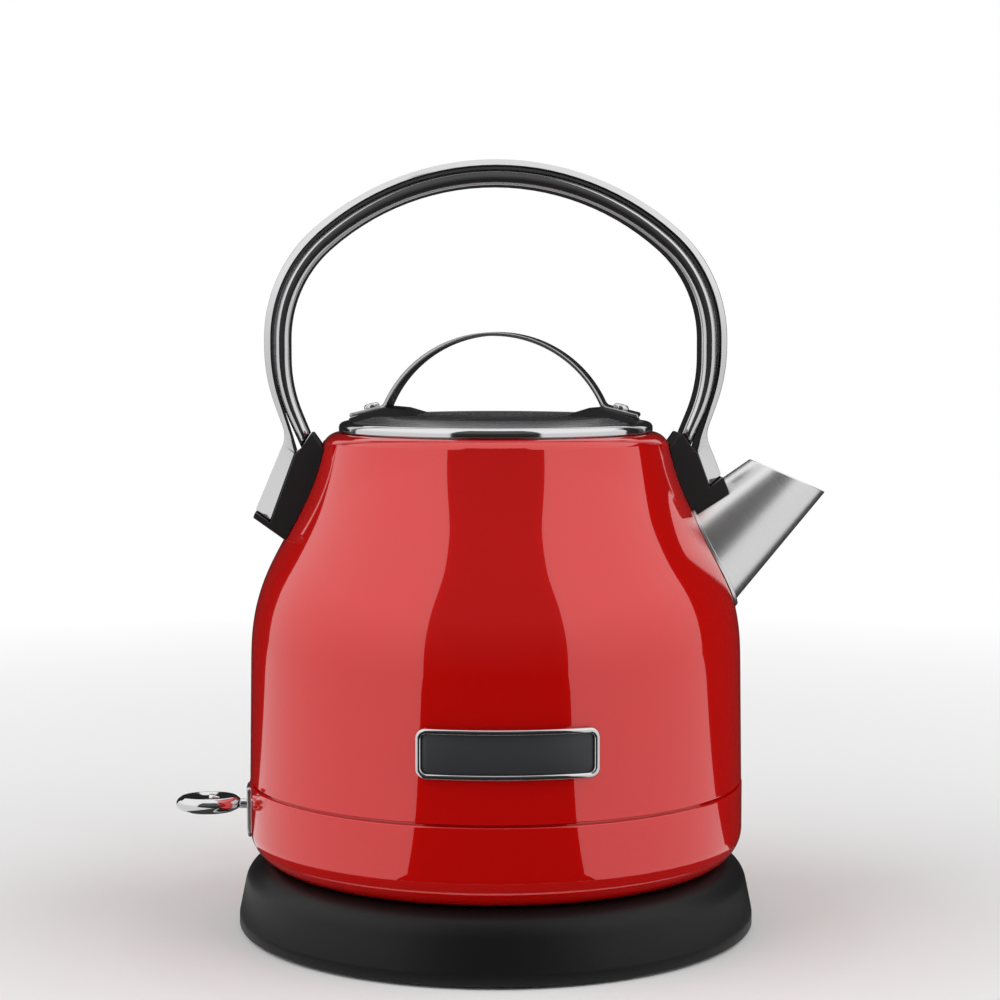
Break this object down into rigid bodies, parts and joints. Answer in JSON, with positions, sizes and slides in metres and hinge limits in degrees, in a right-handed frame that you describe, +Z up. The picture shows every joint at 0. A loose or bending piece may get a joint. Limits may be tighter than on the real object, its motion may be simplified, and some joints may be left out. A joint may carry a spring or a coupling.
{
  "type": "electric kettle",
  "caption": "Domed enamelled electric kettle with arched steel handle, short cone spout, lift-off lid and lever switch, on a round power base.",
  "frame": {"origin": "on the kettle's axis, at the level of the table under the base's feet", "axes": "+Z up, +X towards the spout, -X towards the switch lever, -Y towards the badge"},
  "size_m": [0.225, 0.178, 0.2629],
  "materials": {
    "red_enamel": "gloss",
    "base_black": "fine matt",
    "black_plastic": "satin",
    "socket_plastic": "matt",
    "polished_steel": "polished",
    "brushed_steel": "brushed",
    "steel": "plain",
    "contact_brass": "plain",
    "heater_aluminium": "cast",
    "rubber": "matt",
    "seal_rubber": "matt",
    "badge_grey": "satin"
  },
  "bodies": {
    "base": {"base_cover": "base_black", "base_plate": "base_black", "base_feet": "rubber", "base_screws": "steel", "connector_post": "socket_plastic", "connector_contacts": "contact_brass", "cord_gland": "rubber"},
    "socket": {"connector_socket": "socket_plastic", "socket_contacts": "contact_brass"},
    "kettle": {"body_shell": "red_enamel", "lower_band": "red_enamel", "bottom_cover": "base_black", "bottom_screws": "steel", "heating_plate": "brushed_steel", "floor_seal": "seal_rubber", "heat_spreader": "heater_aluminium", "heating_element": "heater_aluminium", "control_unit": "socket_plastic", "steam_tube": "steel", "switch_cradle": "black_plastic", "switch_escutcheon": "brushed_steel", "spout": "brushed_steel", "handle_tube": "polished_steel", "handle_strip": "polished_steel", "handle_bracket_rear": "black_plastic", "handle_bracket_front": "black_plastic", "bracket_screws": "steel", "badge_frame": "polished_steel", "badge_plate": "badge_grey"},
    "switch": {"switch_lever": "polished_steel", "switch_rocker": "black_plastic", "switch_pin": "steel"},
    "filter": {"filter_frame": "black_plastic", "filter_mesh": "steel"},
    "lid": {"lid_cover": "brushed_steel", "lid_rim": "polished_steel", "lid_plug": "brushed_steel", "lid_seal": "seal_rubber", "lid_pad_rear": "black_plastic", "lid_pad_front": "black_plastic", "lid_strap": "polished_steel", "lid_rivets": "polished_steel"}
  },
  "joints": [
    {"name": "kettle_lift", "type": "slide", "parent": "base", "child": "socket", "axis": [0, 0, 1], "range_m": [0, 0.05]},
    {"name": "kettle_swivel", "type": "hinge", "parent": "socket", "child": "kettle", "pos_m": [0, 0, 0.04], "axis": [0, 0, 1], "continuous": true},
    {"name": "switch_tilt", "type": "hinge", "parent": "kettle", "child": "switch", "pos_m": [-0.0732, 0, 0.0415], "axis": [0, -1, 0], "range_deg": [0, 11]},
    {"name": "filter_slide", "type": "slide", "parent": "kettle", "child": "filter", "axis": [-0.7373, 0, -0.6756], "range_m": [0, 0.02]},
    {"name": "lid_lift", "type": "slide", "parent": "kettle", "child": "lid", "axis": [0, 0, 1], "range_m": [0, 0.045]}
  ]
}
